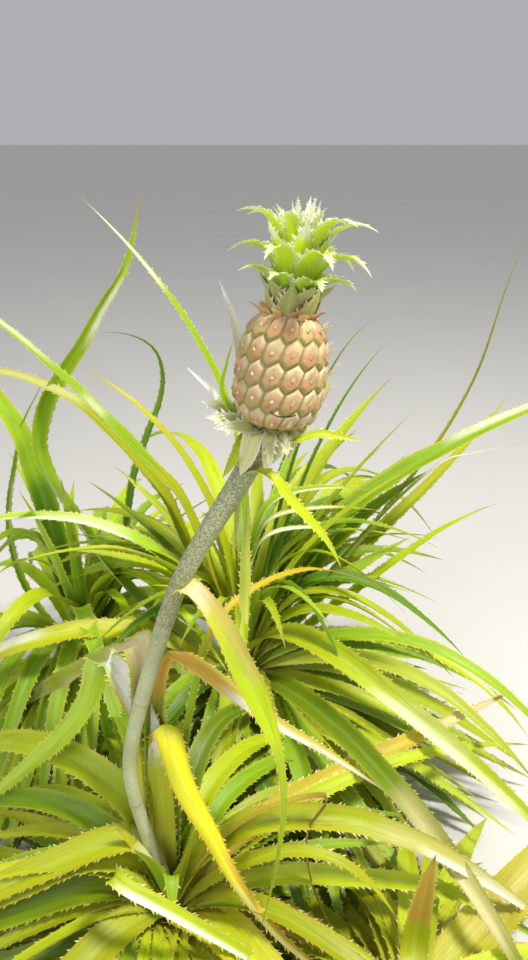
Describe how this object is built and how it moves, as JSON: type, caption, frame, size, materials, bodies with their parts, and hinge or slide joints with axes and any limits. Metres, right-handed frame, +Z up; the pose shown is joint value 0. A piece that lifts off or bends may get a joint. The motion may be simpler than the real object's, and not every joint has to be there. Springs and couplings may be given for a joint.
{
  "type": "pineapple plant",
  "caption": "Pineapple plant in fruit: a clump of rosettes of long channelled leaves from one root, with a small crowned fruit on a long bent stalk",
  "frame": {"origin": "the middle of the flat cut under the main stem, at ground level", "axes": "+X to the right of the picture, +Y away from the camera, +Z up"},
  "size_m": [1.16, 1.2022, 0.8875],
  "materials": {
    "stem": "fibrous",
    "stalk": "waxy",
    "fruit": "matte",
    "crown": "waxy",
    "bract": "matte",
    "leaf": "waxy"
  },
  "bodies": {
    "root": {"stem_main": "stem", "fruit_stalk": "stalk", "fruit": "fruit", "fruit_crown": "crown", "fruit_bracts": "bract", "stalk_leaf_long_lower": "bract", "stalk_leaf_long_upper": "bract", "stalk_leaf_short": "bract", "stalk_leaf_yellow": "bract", "back_stem": "stem", "left_stem": "stem", "right_stem": "stem", "mother_leaf_01": "leaf", "mother_leaf_02": "leaf", "mother_leaf_03": "leaf", "mother_leaf_04": "leaf", "mother_leaf_05": "leaf", "mother_leaf_06_lower": "leaf", "mother_leaf_06_upper": "leaf", "mother_leaf_07_lower": "leaf", "mother_leaf_07_upper": "leaf", "mother_leaf_08_lower": "leaf", "mother_leaf_08_upper": "leaf", "mother_leaf_09": "leaf", "mother_leaf_10_lower": "leaf", "mother_leaf_10_upper": "leaf", "mother_leaf_11_lower": "leaf", "mother_leaf_11_upper": "leaf", "mother_leaf_12_lower": "leaf", "mother_leaf_12_upper": "leaf", "mother_leaf_13_lower": "leaf", "mother_leaf_13_upper": "leaf", "mother_leaf_14_lower": "leaf", "mother_leaf_14_upper": "leaf", "mother_leaf_15_lower": "leaf", "mother_leaf_15_upper": "leaf", "mother_leaf_16": "leaf", "mother_leaf_17": "leaf", "mother_leaf_18": "leaf", "mother_leaf_20": "leaf", "mother_leaf_21": "leaf", "mother_leaf_22": "leaf", "mother_leaf_23": "leaf", "back_leaves_1": "leaf", "back_leaves_2": "leaf", "back_leaves_3": "leaf", "back_leaves_4": "leaf", "back_leaves_5": "leaf", "back_leaves_6": "leaf", "left_leaves_1": "leaf", "left_leaves_2": "leaf", "left_leaves_3": "leaf", "right_leaves_1": "leaf", "right_leaves_2": "leaf", "right_leaves_3": "leaf"}
  },
  "joints": []
}
